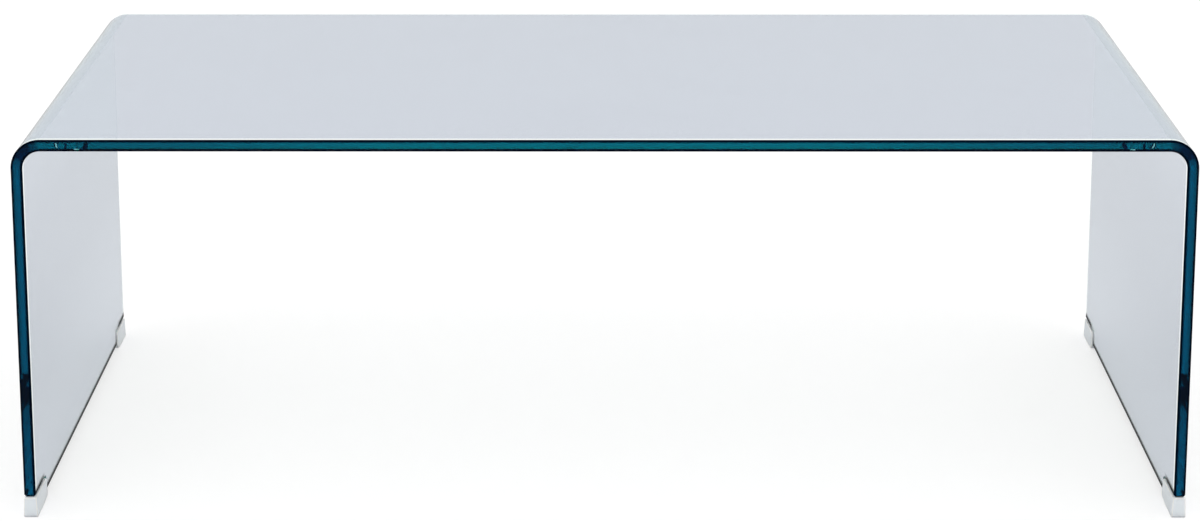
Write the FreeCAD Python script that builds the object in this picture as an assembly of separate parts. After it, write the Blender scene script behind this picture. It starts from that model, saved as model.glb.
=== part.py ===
import FreeCAD, Part
import os
from math import radians

# Waterfall coffee table: one sheet of bent glass on four plastic corner feet.
# Millimetres. The origin is on the floor under the middle of the table,
# +X runs along the table, +Y to the rear and +Z up.

# Table, over the glass
TABLE_W = 1200.0
TABLE_D = 700.0
TABLE_H = 400.0

# Glass sheet
GLASS_T = 12.0
BEND_R = 18.0
ARRIS = 2.0

# Notch in each lower corner of the legs
NOTCH_L = 70.0
NOTCH_H = 16.5
NOTCH_R = 5.0

# Corner feet: the stand lifts the glass off the floor, the flare widens the foot towards it
FOOT_STAND = 6.0
FOOT_PROUD_OUT = 0.2
FOOT_PROUD_IN = 0.8
FOOT_FLARE = 1.0
FOOT_TOE_R = 5.0
FOOT_EDGE = 0.8

# Clear adhesive between a foot and its notch
BOND_T = 0.8

# Angle above which two faces meet in an edge instead of running on smoothly
SHARP = radians(20)

X = FreeCAD.Vector(1, 0, 0)
Y = FreeCAD.Vector(0, 1, 0)
ORIGIN = FreeCAD.Vector(0, 0, 0)

LEG_OUT = TABLE_W / 2
LEG_IN = LEG_OUT - GLASS_T
FRONT = -TABLE_D / 2
NOTCH_END = FRONT + NOTCH_L
GLASS_LOW = FOOT_STAND
NOTCH_TOP = GLASS_LOW + NOTCH_H


def sharp_edges(solid):
    """Edges at which two faces meet at an angle."""
    found = []
    for edge in solid.Edges:
        middle = edge.valueAt((edge.FirstParameter + edge.LastParameter) / 2)
        normals = []
        for face in solid.ancestorsOfType(edge, Part.Face):
            normals.append(face.normalAt(*face.Surface.parameter(middle)))
        if normals[0].getAngle(normals[-1]) > SHARP:
            found.append(edge)
    return found


def outline(points):
    """Closed face through points given as (point, corner radius)."""
    edges = []
    count = len(points)
    ends = []
    for i in range(count):
        corner, radius = points[i]
        if radius == 0:
            ends.append((corner, corner))
            continue
        back = (points[i - 1][0] - corner).normalize()
        ahead = (points[(i + 1) % count][0] - corner).normalize()
        start = corner + back * radius
        stop = corner + ahead * radius
        centre = start + ahead * radius
        middle = centre + (corner - centre).normalize() * radius
        edges.append(Part.Arc(start, middle, stop).toShape())
        ends.append((start, stop))
    for i in range(count):
        edges.append(Part.makeLine(ends[i - 1][1], ends[i][0]))
    return Part.Face(Part.Wire(Part.__sortEdges__(edges)))


def at_corners(solid):
    """The front left solid and its copies at the other three lower corners."""
    front_right = solid.mirror(ORIGIN, X)
    return {
        "front_left": solid,
        "front_right": front_right,
        "rear_left": solid.mirror(ORIGIN, Y),
        "rear_right": front_right.mirror(ORIGIN, Y),
    }


def side_point(y, z):
    """Point in the middle plane of the table, for outlines seen from its end."""
    return FreeCAD.Vector(0, y, z)


def across(face, x_from, x_to):
    """Side outline pushed through from one x to another."""
    placed = face.copy()
    placed.translate(X * x_from)
    return placed.extrude(X * (x_to - x_from))


# Glass: the bent profile in front view, drawn out to the depth of the table
def bent_section():
    outer_r = BEND_R + GLASS_T
    under = TABLE_H - GLASS_T
    corners = [
        (FreeCAD.Vector(-LEG_OUT, FRONT, GLASS_LOW), 0),
        (FreeCAD.Vector(-LEG_OUT, FRONT, TABLE_H), outer_r),
        (FreeCAD.Vector(LEG_OUT, FRONT, TABLE_H), outer_r),
        (FreeCAD.Vector(LEG_OUT, FRONT, GLASS_LOW), 0),
        (FreeCAD.Vector(LEG_IN, FRONT, GLASS_LOW), 0),
        (FreeCAD.Vector(LEG_IN, FRONT, under), BEND_R),
        (FreeCAD.Vector(-LEG_IN, FRONT, under), BEND_R),
        (FreeCAD.Vector(-LEG_IN, FRONT, GLASS_LOW), 0),
    ]
    return outline(corners)


# The notch cutter stands past the glass on its open sides, and only its inner top corner is round
def notch_cutter():
    past = GLASS_T
    side = outline([
        (side_point(FRONT - past, GLASS_LOW - past), 0),
        (side_point(NOTCH_END, GLASS_LOW - past), 0),
        (side_point(NOTCH_END, NOTCH_TOP), NOTCH_R),
        (side_point(FRONT - past, NOTCH_TOP), 0),
    ])
    return across(side, -LEG_OUT - past, -LEG_IN + past)


# Every edge of the sheet is flat ground, with an arris along both faces
def bent_glass_sheet():
    sheet = bent_section().extrude(Y * TABLE_D)
    for cutter in at_corners(notch_cutter()).values():
        sheet = sheet.cut(cutter)
    return sheet.makeChamfer(ARRIS, sharp_edges(sheet))


# Foot: a block that fills the notch, wider at the floor, with every edge eased
def foot():
    top = NOTCH_TOP - BOND_T
    end = NOTCH_END - BOND_T
    side = outline([
        (side_point(FRONT, 0), FOOT_TOE_R),
        (side_point(end, 0), FOOT_TOE_R),
        (side_point(end, top), NOTCH_R - BOND_T),
        (side_point(FRONT, top), 0),
    ])
    x_out = -LEG_OUT - FOOT_PROUD_OUT
    x_in = -LEG_IN + FOOT_PROUD_IN
    section = outline([
        (FreeCAD.Vector(x_out - FOOT_FLARE, FRONT, 0), 0),
        (FreeCAD.Vector(x_in + FOOT_FLARE, FRONT, 0), 0),
        (FreeCAD.Vector(x_in, FRONT, top), 0),
        (FreeCAD.Vector(x_out, FRONT, top), 0),
    ])
    block = section.extrude(Y * (end - FRONT))
    block = block.common(across(side, x_out - FOOT_FLARE, x_in + FOOT_FLARE))
    return block.makeChamfer(FOOT_EDGE, sharp_edges(block))


# Bond: an even film over the top, round corner and end of the notch, between its arrises
def bond_film():
    low = GLASS_LOW + ARRIS
    front = FRONT + ARRIS
    inner = outline([
        (side_point(front, low), 0),
        (side_point(NOTCH_END - BOND_T, low), 0),
        (side_point(NOTCH_END - BOND_T, NOTCH_TOP - BOND_T), NOTCH_R - BOND_T),
        (side_point(front, NOTCH_TOP - BOND_T), 0),
    ])
    outer = outline([
        (side_point(front, low), 0),
        (side_point(NOTCH_END, low), 0),
        (side_point(NOTCH_END, NOTCH_TOP), NOTCH_R),
        (side_point(front, NOTCH_TOP), 0),
    ])
    return across(outer.cut(inner), -LEG_OUT + ARRIS, -LEG_IN - ARRIS)


os.makedirs("parts", exist_ok=True)
bent_glass_sheet().exportStep("parts/bent_glass_sheet.step")
for place, solid in at_corners(foot()).items():
    solid.exportStep("parts/foot_" + place + ".step")
for place, solid in at_corners(bond_film()).items():
    solid.exportStep("parts/bond_" + place + ".step")
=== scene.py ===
import math

import bpy
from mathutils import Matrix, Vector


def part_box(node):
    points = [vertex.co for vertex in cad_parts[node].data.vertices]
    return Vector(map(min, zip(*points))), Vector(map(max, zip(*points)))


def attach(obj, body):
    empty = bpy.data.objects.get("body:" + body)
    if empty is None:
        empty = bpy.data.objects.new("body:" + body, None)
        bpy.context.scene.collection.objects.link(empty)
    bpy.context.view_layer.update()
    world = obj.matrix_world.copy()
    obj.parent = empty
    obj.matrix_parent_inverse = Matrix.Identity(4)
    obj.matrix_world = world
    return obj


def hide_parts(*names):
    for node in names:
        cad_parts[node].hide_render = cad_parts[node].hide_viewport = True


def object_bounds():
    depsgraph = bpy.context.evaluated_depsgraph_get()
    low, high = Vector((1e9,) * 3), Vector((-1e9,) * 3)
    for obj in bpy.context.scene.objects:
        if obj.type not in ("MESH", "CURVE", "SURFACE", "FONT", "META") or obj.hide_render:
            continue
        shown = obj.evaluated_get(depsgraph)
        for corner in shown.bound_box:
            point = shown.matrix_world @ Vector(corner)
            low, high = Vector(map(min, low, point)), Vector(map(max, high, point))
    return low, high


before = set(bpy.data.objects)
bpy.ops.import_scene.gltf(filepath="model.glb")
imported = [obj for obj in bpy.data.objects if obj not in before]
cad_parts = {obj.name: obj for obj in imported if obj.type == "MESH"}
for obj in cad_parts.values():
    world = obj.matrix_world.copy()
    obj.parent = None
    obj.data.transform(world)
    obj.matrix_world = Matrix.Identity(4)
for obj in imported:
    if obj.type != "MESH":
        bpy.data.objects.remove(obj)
cad_low, cad_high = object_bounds()


# Bent glass sheet
# One pane of clear float glass, softened in a kiln and bent over two formers, is the top and both legs.
# Its edges are ground flat and polished with a narrow arris, and its lower corners are notched for the feet.
glass_low, glass_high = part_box("bent_glass_sheet")
glass_thickness = 0.012
bend_inside = 0.018
bend_outside = bend_inside + glass_thickness
bend_steps = 40
arris_width = 0.002
rim_width = 0.006
painted_line_height = 0.0045
notch_length = 0.070
notch_height = 0.0165
notch_corner = 0.005
notch_steps = 10
sharp_angle = math.radians(30)
merge_distance = 1e-6
quarter_turn = math.pi / 2

leg_middle = glass_low.x + glass_thickness / 2
bend_height = glass_high.z - bend_outside
leg_straight = bend_height - glass_low.z
top_straight = glass_high.x - glass_low.x - 2 * bend_outside


def start_fresh():
    """Leaves edit mode and deselects everything."""
    if bpy.context.mode != "OBJECT":
        bpy.ops.object.mode_set(mode="OBJECT")
    bpy.ops.object.select_all(action="DESELECT")


def pick(piece):
    """Selects one piece alone."""
    start_fresh()
    piece.select_set(True)
    bpy.context.view_layer.objects.active = piece


def settle(piece):
    """Puts a primitive's place and size into its mesh."""
    bpy.context.view_layer.objects.active = piece
    bpy.ops.object.transform_apply(location=True, rotation=True, scale=True)


def take_face():
    """Opens a new plane in edit mode, with its one face selected."""
    bpy.ops.object.mode_set(mode="EDIT")
    bpy.ops.mesh.select_mode(type="FACE")
    bpy.ops.mesh.select_all(action="SELECT")


def push(x=0.0, y=0.0, z=0.0):
    """In edit mode, draws the selected face out by this much."""
    bpy.ops.mesh.extrude_region_move(TRANSFORM_OT_translate={"value": (x, y, z)})


def close_mesh():
    """In edit mode, merges the seams that spin leaves and turns every face outwards."""
    bpy.ops.mesh.select_all(action="SELECT")
    bpy.ops.mesh.remove_doubles(threshold=merge_distance)
    bpy.ops.mesh.normals_make_consistent(inside=False)


def finish_with(piece, kind, **settings):
    """Adds a modifier with these settings and applies it."""
    bpy.context.view_layer.objects.active = piece
    modifier = piece.modifiers.new(kind.lower(), kind)
    for name, value in settings.items():
        setattr(modifier, name, value)
    bpy.ops.object.modifier_apply(modifier=modifier.name)


def select_edges(piece, wanted):
    """In edit mode, selects the edges whose two ends pass a test on their places."""
    bpy.ops.mesh.select_mode(type="EDGE")
    bpy.ops.mesh.select_all(action="DESELECT")
    bpy.ops.object.mode_set(mode="OBJECT")
    points = piece.data.vertices
    for edge in piece.data.edges:
        edge.select = all(wanted(points[end].co) for end in edge.vertices)
    bpy.ops.object.mode_set(mode="EDIT")


def round_edges(piece, wanted, radius, steps):
    """In edit mode, rounds the edges whose two ends pass a test on their places."""
    select_edges(piece, wanted)
    bpy.ops.mesh.bevel(offset=radius, segments=steps, affect="EDGES")


start_fresh()
bpy.ops.mesh.primitive_plane_add(size=1, location=(leg_middle, 0, glass_low.z))
glass = bpy.context.object
glass.name = "glass_sheet"
glass.scale = (glass_thickness, glass_high.y - glass_low.y, 1)
settle(glass)
take_face()
push(z=leg_straight)
for bend_x in (glass_low.x + bend_outside, glass_high.x - bend_outside):
    bpy.ops.mesh.spin(
        steps=bend_steps, angle=-quarter_turn, center=(bend_x, 0, bend_height), axis=(0, 1, 0)
    )
    if bend_x < 0:
        push(x=top_straight)
push(z=-leg_straight)
close_mesh()
bpy.ops.object.mode_set(mode="OBJECT")

# The notches are cut by a block with one round edge, mirrored to the four lower corners
start_fresh()
bpy.ops.mesh.primitive_cube_add(size=1, location=(leg_middle, glass_low.y, glass_low.z))
cutter = bpy.context.object
cutter.scale = (2 * glass_thickness, 2 * notch_length, 2 * notch_height)
settle(cutter)
bpy.ops.object.mode_set(mode="EDIT")
round_edges(
    cutter, lambda place: place.y > glass_low.y and place.z > glass_low.z, notch_corner, notch_steps
)
bpy.ops.object.mode_set(mode="OBJECT")
finish_with(cutter, "MIRROR", use_axis=(True, True, False), use_mirror_merge=False)
finish_with(glass, "BOOLEAN", operation="DIFFERENCE", solver="EXACT", object=cutter)
bpy.data.objects.remove(cutter)

# Every edge gets its arris, and material slots tell the new faces apart from the old ones
old_slot = 0
bevel_slot = 1
arris_steps = 1


def bevel_sharp_edges(piece, width, steps):
    """Bevels the sharp edges of a piece, and tells for each face whether the bevel made it."""
    for slot in (old_slot, bevel_slot):
        piece.data.materials.append(None)
    finish_with(
        piece, "BEVEL", width=width, segments=steps, limit_method="ANGLE",
        angle_limit=sharp_angle, material=bevel_slot,
    )
    faces = piece.data.polygons
    made = [face.material_index == bevel_slot for face in faces]
    faces.foreach_set("material_index", [old_slot] * len(faces))
    return made


def smooth(piece):
    """Shades a piece smooth apart from its sharp edges."""
    pick(piece)
    bpy.ops.object.shade_smooth_by_angle(angle=sharp_angle)


arris_faces = bevel_sharp_edges(glass, arris_width, arris_steps)
smooth(glass)

# Marks on the mesh tell its arrises, edges and notches apart, so that their finish can follow them
# A face is told by how far its normal leans along an axis: mostly, partly or hardly
mostly = 0.9
partly = 0.4
hardly = 0.3
notch_middle = glass_high.y - notch_length / 2
half_notch_up = glass_low.z + notch_height / 2


def mark_faces(piece, name, wanted):
    """Keeps 1 for each face that passes a test and 0 for the others, under this name."""
    values = [float(wanted(face)) for face in piece.data.polygons]
    piece.data.attributes.new(name, "FLOAT", "FACE").data.foreach_set("value", values)


def mark_points(piece, name, measure):
    """Keeps what a measure gives at each point, under this name."""
    values = [measure(point.co) for point in piece.data.vertices]
    piece.data.attributes.new(name, "FLOAT", "POINT").data.foreach_set("value", values)


def is_low(face):
    """Near the lower edge of a leg, and not on its broad sides."""
    return face.center.z < glass_low.z + 2 * notch_height and abs(face.normal.x) < mostly


def looks_down(face):
    return is_low(face) and face.normal.z < -mostly


def is_underside(face):
    return looks_down(face) and face.center.z < half_notch_up


def is_notch_top(face):
    return looks_down(face) and face.center.z > half_notch_up


def is_notch_end(face):
    """In or beside a notch, on a face that looks to the front or rear."""
    beside = abs(face.center.y) > glass_high.y - notch_length - 2 * arris_width
    return is_low(face) and beside and abs(face.normal.y) > partly


def is_in_notch(face):
    return is_notch_end(face) or is_notch_top(face)


def is_edge(face):
    """On the narrow edge of the sheet."""
    return abs(face.normal.x) < hardly and (abs(face.normal.y) > hardly or is_low(face))


def is_arris(face):
    return arris_faces[face.index]


def is_notch_end_arris(face):
    """On the arris round the inner end of a notch."""
    return is_arris(face) and is_notch_end(face) and abs(face.center.y) < notch_middle


def share_turned(place):
    """How far round its bend a point lies: 0 on the top, 1 on a leg."""
    outward = abs(place.x) - top_straight / 2
    if outward <= 0:
        return 0.0
    return 1 - math.atan2(max(place.z - bend_height, 0), outward) / quarter_turn


def depth_in_sheet(place):
    """How far a point lies from the outer face of the sheet."""
    outward = abs(place.x) - top_straight / 2
    upward = place.z - bend_height
    if outward <= 0:
        return glass_high.z - place.z
    if upward <= 0:
        return glass_high.x - abs(place.x)
    return bend_outside - math.hypot(outward, upward)


mark_faces(glass, "arris", lambda face: is_arris(face) and not is_notch_end_arris(face))
mark_faces(
    glass, "lower_line",
    lambda face: is_low(face) and is_arris(face) or is_notch_end(face) or is_underside(face),
)
mark_faces(glass, "notch", is_in_notch)
mark_faces(glass, "ground", lambda face: is_underside(face) or is_notch_end_arris(face))
mark_faces(glass, "edge", lambda face: is_edge(face) and not is_in_notch(face))
mark_points(glass, "turned", share_turned)
mark_points(glass, "across", depth_in_sheet)

# Places of a Mix node's factor, first value and second value among its inputs, and of its result
mix_places = {"FLOAT": (0, 2, 3, 0), "RGBA": (0, 6, 7, 2)}


def feed(tree, socket, value):
    """Links a socket to another one, or sets it to a plain value."""
    if isinstance(value, bpy.types.NodeSocket):
        tree.links.new(value, socket)
    else:
        socket.default_value = value


def add_node(tree, kind, **inputs):
    """Adds a shader node and feeds its inputs by name."""
    node = tree.nodes.new(kind)
    for name, value in inputs.items():
        feed(tree, node.inputs[name.replace("_", " ")], value)
    return node


def add_math(tree, operation, *values):
    """The result of a sum on these values."""
    node = tree.nodes.new("ShaderNodeMath")
    node.operation = operation
    for socket, value in zip(node.inputs, values):
        feed(tree, socket, value)
    return node.outputs["Value"]


def between(tree, value, middle, reach):
    """1 where a value lies within reach of the middle, 0 elsewhere."""
    return add_math(tree, "COMPARE", value, middle, reach)


def graded(tree, value, start, stop, first=0.0, last=1.0):
    """Goes from first to last while a value goes from start to stop."""
    return add_node(
        tree, "ShaderNodeMapRange", Value=value, From_Min=start, From_Max=stop, To_Min=first, To_Max=last
    ).outputs["Result"]


def mix_values(tree, factor, first, second, kind="FLOAT", blend="MIX"):
    """The first value where the factor is 0, the second where it is 1."""
    mix = tree.nodes.new("ShaderNodeMix")
    mix.data_type = kind
    mix.blend_type = blend
    *places, result = mix_places[kind]
    for place, value in zip(places, (factor, first, second)):
        feed(tree, mix.inputs[place], value)
    return mix.outputs[result]


def mix_colours(tree, factor, first, second, blend="MIX"):
    return mix_values(tree, factor, first, second, "RGBA", blend)


def add_ramp(tree, value, *steps):
    """Colours that follow a value through these steps."""
    ramp = add_node(tree, "ShaderNodeValToRGB", Fac=value)
    stops = ramp.color_ramp.elements
    for step, tone in steps:
        stops.new(step).color = tone
    stops.remove(stops[-1])
    stops.remove(stops[0])
    return ramp.outputs["Color"]


def read_mark(tree, name):
    """A value kept on the mesh under this name."""
    mark = tree.nodes.new("ShaderNodeAttribute")
    mark.attribute_name = name
    return mark.outputs["Fac"]


def new_finish(name):
    """A material with no nodes in it yet."""
    finish = bpy.data.materials.new(name)
    finish.use_nodes = True
    finish.node_tree.nodes.clear()
    return finish, finish.node_tree


def dress(piece, finish, shader):
    """Ends a material in this shader and gives it to a piece."""
    output = finish.node_tree.nodes.new("ShaderNodeOutputMaterial")
    finish.node_tree.links.new(shader.outputs["BSDF"], output.inputs["Surface"])
    piece.data.materials.clear()
    piece.data.materials.append(finish)
    return output


# Handling marks: broad wiped smears and fine specks of dust, shared by every piece
marks = bpy.data.node_groups.new("handling_marks", "ShaderNodeTree")
marks.interface.new_socket("Smear Scale", in_out="INPUT", socket_type="NodeSocketFloat")
marks.interface.new_socket("Speck Scale", in_out="INPUT", socket_type="NodeSocketFloat")
marks.interface.new_socket("Smear", in_out="OUTPUT", socket_type="NodeSocketFloat")
marks.interface.new_socket("Speck", in_out="OUTPUT", socket_type="NodeSocketFloat")
marks_in = marks.nodes.new("NodeGroupInput")
marks_out = marks.nodes.new("NodeGroupOutput")
marks_place = add_node(marks, "ShaderNodeTexCoord").outputs["Object"]
smear_noise = add_node(
    marks, "ShaderNodeTexNoise", Vector=marks_place, Scale=marks_in.outputs["Smear Scale"],
    Detail=5.0, Roughness=0.62, Distortion=1.4,
)
speck_cells = add_node(
    marks, "ShaderNodeTexVoronoi", Vector=marks_place, Scale=marks_in.outputs["Speck Scale"]
)
feed(marks, marks_out.inputs["Smear"], graded(marks, smear_noise.outputs["Fac"], 0.48, 0.78))
feed(marks, marks_out.inputs["Speck"], graded(marks, speck_cells.outputs["Distance"], 0.10, 0.03))


def add_marks(tree, smear_scale, speck_scale):
    """Places the handling marks in a material and gives its smears and specks."""
    group = tree.nodes.new("ShaderNodeGroup")
    group.node_tree = marks
    group.inputs["Smear Scale"].default_value = smear_scale
    group.inputs["Speck Scale"].default_value = speck_scale
    return group.outputs["Smear"], group.outputs["Speck"]


glass_finish, tree = new_finish("clear_float_glass")
smear = add_marks(tree, smear_scale=3.2, speck_scale=260.0)[0]
on_arris = read_mark(tree, "arris")
on_lower_line = read_mark(tree, "lower_line")
on_notch = read_mark(tree, "notch")
on_ground = read_mark(tree, "ground")
on_edge = read_mark(tree, "edge")
turned = read_mark(tree, "turned")
across = read_mark(tree, "across")
place = add_node(tree, "ShaderNodeTexCoord").outputs["Object"]
along = add_node(tree, "ShaderNodeSeparateXYZ", Vector=place)
sideways = add_math(tree, "ABSOLUTE", along.outputs["X"])
endways = add_math(tree, "ABSOLUTE", along.outputs["Y"])
height = along.outputs["Z"]
clear = (1, 1, 1, 1)
face_tint = (0.78, 0.815, 0.87, 1)
slanting_tint = (0.695, 0.745, 0.99, 1)
painted_line_tint = (0.002, 0.005, 0.014, 1)
# Painted shade: the faces of the notches are darkened where they are looked at
painted_notch_shade = (0.80, 0.42, 0.50, 1)
# Painted shade: the near black that is painted on the arrises, and on light inside the sheet that meets its
# lower edge and notches
painted_arris_dark = (0.0001, 0.0003, 0.0006, 1)
low_edge_painted_light = (0.0, 0.36, 0.85, 1)
painted_reflection_tone = (0.0004, 0.001, 0.008, 1)
painted_glint_tone = (1.0, 0.35, 0.80, 1)

# Stretches of height on a leg over which its edge turns paler in painted light near the foot, and its
# painted veil grows and thins
low_edge_light_reach = (0.125, 0.105)
veil_grows = (0.08, 0.20)
veil_thins = (0.30, 0.37)

# Seen end on, the edge is deep teal, with painted shade that makes it navy round the bends and darker down
# the legs, and painted light that makes it paler near the foot
edge_teal_and_shade = add_ramp(
    tree, turned,
    (0.0, (0.0, 0.95, 1.0, 1)), (0.10, (0.0, 0.16, 0.27, 1)), (0.32, (0.0, 0.005, 0.035, 1)),
    (0.70, (0.0, 0.006, 0.05, 1)), (0.95, (0.0, 0.52, 0.90, 1)),
)
run_painted_shade = add_ramp(
    tree, add_math(tree, "DIVIDE", sideways, glass_high.x),
    (0.35, (1.0, 1.0, 1.0, 1)), (0.70, (0.40, 0.48, 0.60, 1)),
)
shade = mix_colours(tree, 1.0, edge_teal_and_shade, run_painted_shade, "MULTIPLY")
shade = mix_colours(tree, graded(tree, height, *low_edge_light_reach), shade, low_edge_painted_light)

# Painted shade: the flat of the edge is painted darker where it meets its two arrises
half_thickness = glass_thickness / 2
off_middle = add_math(tree, "ABSOLUTE", add_math(tree, "SUBTRACT", across, half_thickness))
painted_arris_border = graded(tree, off_middle, half_thickness - 1.9 * arris_width, half_thickness - arris_width)
shade = mix_colours(tree, painted_arris_border, shade, painted_arris_dark)

# Painted shade: a darker line is painted along the lower arris of the top
on_top = add_math(tree, "LESS_THAN", turned, 0.01)
painted_under_line = add_math(tree, "GREATER_THAN", across, glass_thickness - 1.55 * arris_width)
shade = mix_colours(tree, add_math(tree, "MULTIPLY", on_top, painted_under_line), shade, painted_arris_dark)

# Painted reflections in the edge of the top: a few short marks just before each bend, three dark reflections
# and two bright painted glints
ripple_reach = 0.005
ripple = add_node(tree, "ShaderNodeTexNoise", Vector=place, Scale=150.0, Detail=2.0).outputs["Fac"]
centred = add_math(tree, "SUBTRACT", sideways, ripple_reach / 2)
wavering = add_math(tree, "MULTIPLY_ADD", ripple, ripple_reach, centred)


def short_painted_reflection(lean, middle, reach, depth, depth_reach):
    """1 on a short painted reflection in the edge of the top, this far from the table's middle and this deep
    in it.
    """
    leaning = add_math(tree, "MULTIPLY_ADD", add_math(tree, "SUBTRACT", across, depth), lean, wavering)
    found = add_math(tree, "MULTIPLY", on_top, between(tree, leaning, middle, reach))
    return add_math(tree, "MULTIPLY", found, between(tree, across, depth, depth_reach))


for mark in (
    short_painted_reflection(lean=-0.35, middle=0.524, reach=0.0026, depth=0.0060, depth_reach=0.0032),
    short_painted_reflection(lean=-0.10, middle=0.5435, reach=0.0010, depth=0.0062, depth_reach=0.0030),
    short_painted_reflection(lean=0.42, middle=0.5525, reach=0.0021, depth=0.0055, depth_reach=0.0028),
):
    shade = mix_colours(tree, mark, shade, painted_reflection_tone)
painted_glint = add_math(
    tree, "MAXIMUM",
    short_painted_reflection(lean=0.42, middle=0.5525, reach=0.0008, depth=0.0055, depth_reach=0.0024),
    short_painted_reflection(lean=0.0, middle=0.5325, reach=0.0022, depth=0.0094, depth_reach=0.0005),
)
shade = mix_colours(tree, painted_glint, shade, painted_glint_tone)

# Painted highlight: a narrow rim along each edge is left clear of veil and tint, so it reads paler
painted_rim_highlight = between(tree, endways, glass_high.y - arris_width, rim_width)

# Painted reflection: the dark lower edge is painted into the lowest few millimetres of the sheet, where it
# would be mirrored, stepped up over the notches
notch_flat = glass_high.y - notch_length + notch_corner
beside_notch = add_math(tree, "GREATER_THAN", endways, notch_flat)
border = add_math(tree, "MULTIPLY_ADD", beside_notch, notch_height, glass_low.z + arris_width)
above_border = add_math(tree, "SUBTRACT", height, border)
painted_low_line = graded(tree, above_border, 0.5 * painted_line_height, 1.5 * painted_line_height, 1.0, 0.0)


def fade_to_corner(value, length):
    """Over a notch, takes a value down to 0 at the notch's round corner, over this length."""
    left = graded(tree, endways, notch_flat, notch_flat + length)
    return add_math(tree, "MULTIPLY", value, mix_values(tree, beside_notch, 1.0, left))


# That painted line and the painted dark of the arris and lower edge over a notch fade out where they run
# into its round corner, which stays light there like a highlight
painted_low_line = fade_to_corner(painted_low_line, notch_length / 3)
on_arris = fade_to_corner(on_arris, 2 * notch_corner)
on_lower_line = fade_to_corner(on_lower_line, 2 * notch_corner)

# Painted shade: the veil and tint darken the glass only where it is looked at, and light that is inside it
# already passes clear, apart from the painted dark that the lower edge and the notches give it
one_bounce = 1.5
some_bounces = 3.5
trapping_bounces = 30.5
trapped_loss = 0.04
light_path = add_node(tree, "ShaderNodeLightPath")
looked_at = light_path.outputs["Is Camera Ray"]
bounced = light_path.outputs["Ray Depth"]
close_by = add_math(
    tree, "MULTIPLY", add_math(tree, "LESS_THAN", bounced, one_bounce),
    add_math(tree, "LESS_THAN", light_path.outputs["Ray Length"], 3 * glass_thickness),
)
far_off = add_math(tree, "GREATER_THAN", bounced, some_bounces)
painted_inner_dark = add_math(
    tree, "MAXIMUM", add_math(tree, "MULTIPLY", on_lower_line, close_by),
    add_math(tree, "MULTIPLY", on_notch, far_off),
)
inner_tint = mix_colours(tree, painted_inner_dark, clear, painted_arris_dark)

# Light trapped between the two faces runs the length of the sheet and dies away slowly
trapped = add_math(tree, "GREATER_THAN", bounced, trapping_bounces)
trapped_veil = add_math(tree, "MULTIPLY", trapped, trapped_loss)
inner_veil = add_math(tree, "MAXIMUM", painted_inner_dark, trapped_veil)

# Painted shade: the veil is thin and even on the top, a little denser on its smears, densest half way down
# the legs and denser still along the outline of each bend
facing = add_node(tree, "ShaderNodeLayerWeight", Blend=0.5).outputs["Facing"]
on_bend = between(tree, turned, 0.5, 0.48)
painted_bend_outline = add_math(tree, "MULTIPLY", graded(tree, facing, 0.90, 1.0), on_bend)
top_veil = mix_values(tree, smear, 0.282, 0.294)
leg_veil = graded(tree, height, *veil_grows, 0.294, 0.336)
leg_veil = mix_values(tree, graded(tree, height, *veil_thins), leg_veil, 0.308)
edge_veil = mix_values(tree, painted_glint, 0.93, 0.30)
painted_veil = mix_values(tree, turned, top_veil, leg_veil)
for covered, density in (
    (painted_bend_outline, 0.50), (painted_rim_highlight, 0.02), (painted_low_line, 0.97),
    (on_edge, edge_veil), (on_notch, 0.80), (on_arris, 1.0),
):
    painted_veil = mix_values(tree, covered, painted_veil, density)

# The tint is bluer where the sheet is seen at a slant
tint = mix_colours(tree, graded(tree, facing, 0.35, 0.75), face_tint, slanting_tint)
for covered, colour in (
    (painted_rim_highlight, clear), (painted_low_line, painted_line_tint), (on_edge, shade), (on_notch, painted_notch_shade), (on_arris, painted_arris_dark),
):
    tint = mix_colours(tree, covered, tint, colour)

# Smears dull the polish a little, and the ground faces under the sheet scatter light
dullness = mix_values(tree, smear, 0.0, 0.018)
dullness = mix_values(tree, on_ground, dullness, 0.5)
dullness = mix_values(tree, on_arris, dullness, 0.22)
glass_shader = add_node(
    tree, "ShaderNodeBsdfPrincipled",
    Base_Color=mix_colours(tree, looked_at, inner_tint, tint), Roughness=dullness,
    IOR=1.52, Transmission_Weight=1.0, Coat_Weight=mix_values(tree, looked_at, inner_veil, painted_veil),
    Coat_Roughness=0.0, Coat_IOR=1.01, Coat_Tint=(0.0, 0.082, 0.23, 1),
)
glass_depth = add_node(
    tree, "ShaderNodeVolumeAbsorption", Color=(0.167, 0.950, 0.790, 1), Density=3.0
)
glass_output = dress(glass, glass_finish, glass_shader)
tree.links.new(glass_depth.outputs["Volume"], glass_output.inputs["Volume"])
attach(glass, "root")
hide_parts("bent_glass_sheet")


# Corner feet
# Four injection-moulded blocks of milky plastic fill the notches and lift the glass off the floor.
# Each widens a little towards the floor, has eased edges and is bonded to the top and end of its notch.
foot_low, foot_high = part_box("foot_front_left")
foot_flare = 0.001
foot_front_toe = 0.003
foot_toe = 0.005
foot_rise = 0.0025
foot_rise_length = 0.030
foot_seat = 0.0042
foot_steps = 8
foot_ease = 0.0011
foot_ease_steps = 4
touching = 1e-5
milky = (0.842, 0.893, 1.0, 1)
rubbed_milky = (0.808, 0.862, 0.970, 1)
highlight_milky = (0.98, 0.985, 1.0, 1)
dust_grey = (0.72, 0.74, 0.77, 1)
foot_size = foot_high - foot_low
foot_middle = (foot_low + foot_high) / 2


def is_below(place):
    return place.z < foot_middle.z


def is_at_end(place):
    return place.y > foot_high.y - touching


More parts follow.
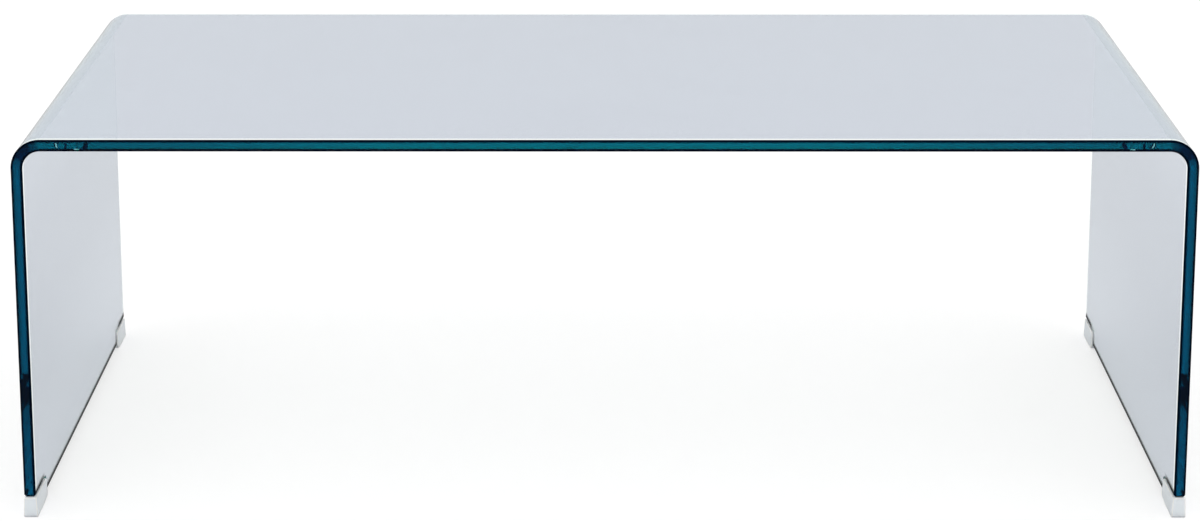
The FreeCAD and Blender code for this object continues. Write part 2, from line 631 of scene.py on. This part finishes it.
start_fresh()
bpy.ops.mesh.primitive_cube_add(size=1, location=foot_middle)
foot = bpy.context.object
foot.scale = foot_size
settle(foot)
bpy.ops.object.mode_set(mode="EDIT")
select_edges(foot, lambda place: not is_below(place))
bpy.ops.transform.resize(
    value=((foot_size.x - 2 * foot_flare) / foot_size.x, 1, 1), center_override=foot_middle
)

# The underside rises towards the inner end, and the toes and the seat in the notch's corner are round
bpy.ops.mesh.select_all(action="SELECT")
bpy.ops.mesh.bisect(plane_co=(0, foot_high.y - foot_rise_length, 0), plane_no=(0, 1, 0))
select_edges(foot, lambda place: is_below(place) and is_at_end(place))
bpy.ops.transform.translate(value=(0, 0, foot_rise))
round_edges(
    foot, lambda place: is_below(place) and place.y < foot_middle.y, foot_front_toe, foot_steps
)
round_edges(foot, lambda place: is_below(place) and is_at_end(place), foot_toe, foot_steps)
round_edges(foot, lambda place: not is_below(place) and is_at_end(place), foot_seat, foot_steps)
bpy.ops.object.mode_set(mode="OBJECT")
eased_faces = bevel_sharp_edges(foot, foot_ease, foot_ease_steps)
mark_faces(foot, "eased", lambda face: eased_faces[face.index])

# Light sinks into the plastic, which has a fine moulded grain; its eased edges are painted paler as a
# highlight
foot_finish, tree = new_finish("milky_moulded_plastic")
smear, speck = add_marks(tree, smear_scale=40.0, speck_scale=900.0)
foot_place = add_node(tree, "ShaderNodeTexCoord").outputs["Object"]
grain = add_node(tree, "ShaderNodeTexNoise", Vector=foot_place, Scale=1800.0, Detail=2.0).outputs["Fac"]
grained = add_node(tree, "ShaderNodeBump", Strength=0.08, Distance=0.0002, Height=grain).outputs["Normal"]
foot_colour = mix_colours(tree, smear, milky, rubbed_milky)
foot_colour = mix_colours(tree, read_mark(tree, "eased"), foot_colour, highlight_milky)
foot_shader = add_node(
    tree, "ShaderNodeBsdfPrincipled",
    Base_Color=mix_colours(tree, speck, foot_colour, dust_grey),
    Roughness=mix_values(tree, smear, 0.30, 0.46), IOR=1.49, Normal=grained,
    Subsurface_Weight=0.85, Subsurface_Radius=(1.0, 1.0, 1.0), Subsurface_Scale=0.008,
)
dress(foot, foot_finish, foot_shader)

# Each corner mirrors the front left one along the table, from front to rear, or both
corners = {
    "front_left": (1, 1),
    "front_right": (-1, 1),
    "rear_left": (1, -1),
    "rear_right": (-1, -1),
}


def stand_at_corners(first, name, node):
    """Sets mirrored copies of the front left piece in the other corners, and names and fixes all four."""
    pieces = {}
    for corner, (side, end) in corners.items():
        piece = first
        if corner != "front_left":
            pick(first)
            bpy.ops.object.duplicate()
            piece = bpy.context.object
            piece.scale = (side, end, 1)
            settle(piece)
            bpy.ops.object.mode_set(mode="EDIT")
            close_mesh()
            bpy.ops.object.mode_set(mode="OBJECT")
        smooth(piece)
        pieces[corner] = piece
    for corner, piece in pieces.items():
        piece.name = name + "_" + corner
        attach(piece, "root")
        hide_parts(node + "_" + corner)


stand_at_corners(foot, "milky_foot", "foot")


# Bond films
# A thin, even bed of clear silicone holds each foot to the top, round corner and end of its notch.
# It stops short of the arrises, and a hair's breadth of clearance keeps its faces apart from the glass.
bond_low, bond_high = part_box("bond_front_left")
bond_thickness = 0.0008
bond_clearance = 0.00004
bond_steps = 10
silicone = (0.93, 0.95, 0.96, 1)
dusty_silicone = (0.80, 0.84, 0.87, 1)
bed_thickness = bond_thickness - 2 * bond_clearance
bed_top = bond_high.z - bond_clearance
bed_end = bond_high.y - bond_clearance
bed_round = notch_corner - bond_clearance

start_fresh()
bpy.ops.mesh.primitive_plane_add(
    size=1, location=((bond_low.x + bond_high.x) / 2, bond_low.y, bed_top - bed_thickness / 2),
    rotation=(quarter_turn, 0, 0),
)
bond = bpy.context.object
bond.scale = (bond_high.x - bond_low.x, bed_thickness, 1)
settle(bond)
take_face()
push(y=bed_end - bed_round - bond_low.y)
bpy.ops.mesh.spin(
    steps=bond_steps, angle=quarter_turn, axis=(1, 0, 0),
    center=(0, bed_end - bed_round, bed_top - bed_round),
)
push(z=bond_low.z - (bed_top - bed_round))
close_mesh()
bpy.ops.object.mode_set(mode="OBJECT")

bond_finish, tree = new_finish("cured_clear_silicone")
smear, speck = add_marks(tree, smear_scale=90.0, speck_scale=1200.0)
bond_shader = add_node(
    tree, "ShaderNodeBsdfPrincipled",
    Base_Color=mix_colours(tree, speck, silicone, dusty_silicone),
    Roughness=mix_values(tree, smear, 0.18, 0.40), IOR=1.41, Transmission_Weight=0.6,
)
dress(bond, bond_finish, bond_shader)
stand_at_corners(bond, "clear_bond", "bond")


# Studio
# A plain white floor runs out to the horizon under even white light, as in a light tent.
# One large soft lamp above the front gives the feet and the edges their form.
floor_half = 60.0
floor_white = 0.40
floor_lift = 0.639
room_light = 0.94
lamp_light = 0.60
lamp_tilt = math.radians(38)
lamp_spread = math.radians(70)
most_bounces = 110


def seen_directly(tree):
    """1 for what the camera sees, straight on or by way of gloss or glass, and 0 for light on things."""
    path = add_node(tree, "ShaderNodeLightPath")
    seen = path.outputs["Is Camera Ray"]
    for kind in ("Is Glossy Ray", "Is Transmission Ray"):
        seen = add_math(tree, "MAXIMUM", seen, path.outputs[kind])
    return seen


start_fresh()
bpy.ops.mesh.primitive_plane_add(size=2 * floor_half, location=(0, 0, cad_low.z))
floor = bpy.context.object
floor.name = "studio_floor"
settle(floor)
floor_finish, tree = new_finish("studio_floor_white")
floor_shader = add_node(
    tree, "ShaderNodeBsdfPrincipled",
    Base_Color=(floor_white, floor_white, floor_white, 1), Roughness=1.0, Specular_IOR_Level=0.0,
    Emission_Color=(1, 1, 1, 1),
    Emission_Strength=add_math(tree, "MULTIPLY", seen_directly(tree), floor_lift),
)
dress(floor, floor_finish, floor_shader)

world = bpy.data.worlds.new("studio")
bpy.context.scene.world = world
world.use_nodes = True
tree = world.node_tree
tree.nodes.clear()
strength = mix_values(tree, seen_directly(tree), room_light, 1.0)
background = add_node(tree, "ShaderNodeBackground", Color=(1, 1, 1, 1), Strength=strength)
output = tree.nodes.new("ShaderNodeOutputWorld")
tree.links.new(background.outputs["Background"], output.inputs["Surface"])

bpy.ops.object.light_add(type="SUN", rotation=(lamp_tilt, 0, 0))
soft_lamp = bpy.context.object
soft_lamp.name = "soft_lamp"
soft_lamp.data.energy = lamp_light
soft_lamp.data.angle = lamp_spread

# The many reflections inside the edge of the sheet each count as a bounce
bounces = bpy.context.scene.cycles
bounces.max_bounces = most_bounces
bounces.glossy_bounces = most_bounces
bounces.transmission_bounces = most_bounces
bpy.context.scene.view_settings.view_transform = "Standard"


# Camera
# It stands in front of the middle of the table, well above it, and looks down at the top.
# Its distance gives the top the taper of the photograph, and its lens fills the frame with the table.
camera_place = (0.0001, -3.859, 1.180)
camera_pitch = math.radians(14.46)
camera_yaw = math.radians(0.08)
camera_lens = 107.05
camera_sensor = 36.0

bpy.ops.object.camera_add(
    location=camera_place, rotation=(quarter_turn - camera_pitch, 0, camera_yaw)
)
camera = bpy.context.object
camera.data.lens = camera_lens
camera.data.sensor_width = camera_sensor
bpy.context.scene.camera = camera
